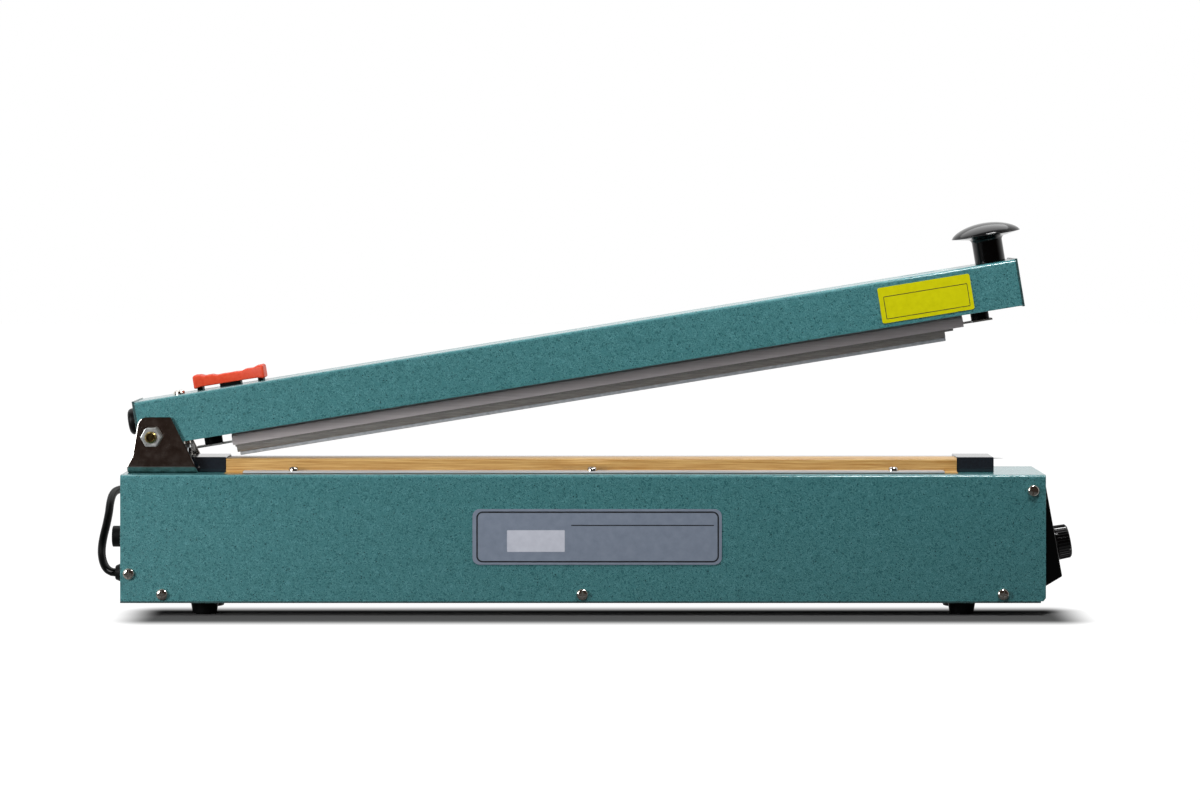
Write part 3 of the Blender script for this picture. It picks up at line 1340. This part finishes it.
dialAxis = Vector(joints["timer_turn"]["axis"]).normalized()
dialSide = Vector((0, 1, 0))
dialUp = dialAxis.cross(dialSide).normalized()
dialPlace = Matrix.Translation(Vector(joints["timer_turn"]["pos_m"])) @ Matrix(
    (dialSide, dialUp, dialAxis)).transposed().to_4x4()


def makeRibTree():
    tree, given = newTree("gripRibs", {"Count": "Int", "Ring Radius": "Float",
                                       "Rib Radius": "Float", "Rib Length": "Float",
                                       "Lean": "Float"})
    ring = addNode(tree, "GeometryNodeMeshCircle",
                   {"Vertices": given["Count"], "Radius": given["Ring Radius"]})
    rib = addNode(tree, "GeometryNodeMeshCylinder",
                  {"Vertices": 8, "Radius": given["Rib Radius"], "Depth": given["Rib Length"]})
    outward = addNode(tree, "GeometryNodeInputPosition")
    ribs = copied(tree, ring, rib, outward, {"axis": "X", "pivot_axis": "Z"}, (0, 1, 0),
                  given["Lean"])
    return ended(tree, ribs, given)


def makeDial():
    t = timer
    body = meshOf(spun([(r, z + t["gapMm"]) for r, z in t["dialMm"]], steps=72),
                  "dialBody")
    ribs = grown("dialRibs", makeRibTree(), {
        "Count": t["ribs"], "Ring Radius": t["ribRingMm"] * mm, "Rib Radius": t["ribMm"] * mm,
        "Rib Length": t["ribLongMm"] * mm, "Lean": -t["ribLean"],
        "Finish": finishes["polishedPhenolic"]})
    ribs.transform(Matrix.Translation((0, 0, (t["gapMm"] + t["ribMiddleMm"]) * mm)))
    pointer = bmesh.new()
    wide, long, thick, corner = (part * mm for part in t["pointerMm"])
    addSlab(pointer, roundedLoop(wide / 2, long / 2, corner, steps=3), 0, -thick)
    line = meshOf(pointer, "dialPointer")
    out, high = t["pointerAtMm"]
    line.transform(Matrix.Translation((0, out * mm, (t["gapMm"] + high) * mm))
                   @ standing.inverted())
    mesh = joined("timerDial", [(body, 0), (ribs, 0), (line, 1)])
    mesh.transform(dialPlace)
    for finish in ("polishedPhenolic", "whiteInk"):
        mesh.materials.append(finishes[finish])
    smoothMesh(mesh, keepDeg=40)
    addPiece(mesh, "timer_knob", name="timerDial")


def makeScale():
    # Plain numbers and ticks printed on the wedge, round the dial
    t = timer
    tick = bmesh.new()
    ways = []
    for i in range(2 * t["numbers"] - 1):
        angle = math.radians(90 + t["sweepDeg"] * (0.5 - i / (2 * t["numbers"] - 2)))
        ways.append(Vector((math.cos(angle), math.sin(angle), 0)))
    for i, out in enumerate(ways):
        side = Vector((-out.y, out.x, 0)) * t["tickWideMm"] / 2
        near = t["tickFromMm"]
        far = near + t["tickLongMm"][i % 2]
        corners = [out * near - side, out * far - side, out * far + side, out * near + side]
        capped(tick, [[tick.verts.new(corner * mm + Vector((0, 0, lift))) for corner in corners]
                      for lift in (-inkProud, inkProud)])
    shapes = [(meshOf(tick, "dialTicks"), 0)]
    for i, out in enumerate(ways[::2]):
        words = bpy.data.curves.new("dialNumber", "FONT")
        words.body = str(i)
        words.size = t["numberMm"] * mm
        words.align_x = "CENTER"
        words.align_y = "CENTER"
        words.extrude = inkProud
        mesh = settled(placed("dialNumber" + str(i), words))
        mesh.transform(Matrix.Translation(out * t["numberAtMm"] * mm))
        shapes.append((mesh, 0))
    mesh = joined("dialScale", shapes)
    mesh.transform(dialPlace)
    addPiece(mesh, "timer_housing", "whiteInk", "dialScale", stands=False)


def makeSignalLamp():
    t = timer
    neck, wide, high = t["lampMm"]
    profile = [(0.0, -t["lampLongMm"]), (neck, -t["lampLongMm"]), (neck, 0.0), (wide, 0.0)]
    profile += [(wide * math.cos(a), high * math.sin(a)) for a in arc(12, 1)]
    profile[-1] = (0.0, high)
    mesh = meshOf(spun(profile, steps=48, closed=False), "signalLamp")
    up = Matrix.Translation((0, t["lampAboveDialMm"] / dialUp.z * mm, 0))
    mesh.transform(dialPlace @ up)
    smoothMesh(mesh, keepDeg=40)
    addPiece(mesh, "signal_lamp", "redAcrylic")


makeDial()
makeScale()
makeSignalLamp()
print("timer made")
